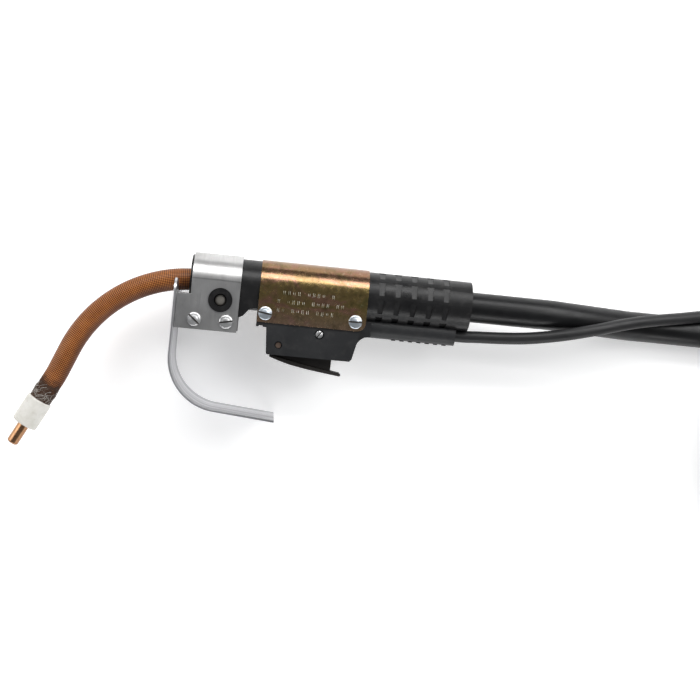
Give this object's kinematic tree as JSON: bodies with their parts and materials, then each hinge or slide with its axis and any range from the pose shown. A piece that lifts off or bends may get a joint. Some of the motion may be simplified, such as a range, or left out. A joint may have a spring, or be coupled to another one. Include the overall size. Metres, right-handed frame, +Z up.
{
  "type": "mig welding torch",
  "caption": "Self-shielded flux-cored welding gun: bent insulated neck, aluminium hand shield, lever trigger, round handle, power lead and control lead tied in a hank.",
  "frame": {"origin": "middle of the gun without its leads, on the surface it lies on", "axes": "+X along the handle from the neck to the cable exit, +Y away from the trigger, +Z up; the gun lies on its side"},
  "size_m": [0.9894, 0.1694, 0.089],
  "materials": {
    "copper": "bright copper, lightly tarnished",
    "ceramic": "off-white moulded insulator",
    "braid": "varnished glass braid, burnt at the front end",
    "steel": "zinc plated steel",
    "brass": "machined brass",
    "black_plastic": "black moulded nylon, satin",
    "grey_plastic": "charcoal moulded nylon, fine texture",
    "trigger_plastic": "dark warm grey nylon",
    "aluminium": "brushed sheet",
    "yellow_zinc": "yellow chromate over zinc plate, iridescent",
    "rubber": "black cable rubber",
    "grey_rubber": "dark grey cable jacket",
    "red_plastic": "switch button",
    "pin_steel": "browned steel"
  },
  "bodies": {
    "gun": {"handle_upper": "black_plastic", "handle_lower": "black_plastic", "clamp_bolt": "steel", "connector_block": "brass", "cable_ferrule": "copper", "inner_cable": "rubber", "cable_bushing": "rubber", "shield_bracket": "aluminium", "bracket_screws": "steel", "bracket_nuts": "steel", "hand_shield": "aluminium", "shield_rivets": "aluminium", "cover_sleeve": "yellow_zinc", "cover_screws": "steel", "cover_nuts": "steel", "housing_left": "grey_plastic", "housing_right": "grey_plastic", "housing_screw": "steel", "trigger_pin": "pin_steel", "trigger_spring": "steel", "switch_body": "black_plastic", "switch_leads": "copper", "control_grommet": "rubber", "main_cable": "rubber", "main_hank": "rubber", "control_cable": "grey_rubber", "control_hank": "grey_rubber", "control_tail": "grey_rubber", "hank_ties": "black_plastic", "connector_boot": "rubber", "feeder_connector": "brass", "control_plug": "black_plastic", "plug_pins": "brass"},
    "neck": {"contact_tip": "copper", "thread_protector": "ceramic", "conductor_tube": "copper", "tube_insulation": "braid", "wire_liner": "steel"},
    "trigger": {"trigger": "trigger_plastic"},
    "plunger": {"switch_plunger": "red_plastic"},
    "ring": {"coupling_ring": "aluminium"}
  },
  "joints": [
    {"name": "trigger_hinge", "type": "hinge", "parent": "gun", "child": "trigger", "pos_m": [0.0246, 0.0151, 0.032], "axis": [0, 0, 1], "range_deg": [0, 7.5], "stiffness_Nm_per_rad": 0.6, "springref_deg": -14.32, "deforming": ["trigger_spring"]},
    {"name": "plunger_slide", "type": "slide", "parent": "gun", "child": "plunger", "axis": [0, 1, 0], "range_m": [0, 0.0031]},
    {"name": "neck_swivel", "type": "hinge", "parent": "gun", "child": "neck", "pos_m": [-0.04, 0.0545, 0.032], "axis": [1, 0, 0], "range_deg": [-90, 90]},
    {"name": "coupling_spin", "type": "hinge", "parent": "gun", "child": "ring", "pos_m": [0.582, -0.0821, 0.077], "axis": [1, 0, 0], "continuous": true}
  ],
  "couplings": [
    {"joint": "plunger_slide", "follows": "trigger_hinge", "m_per_rad": 0.0234}
  ]
}
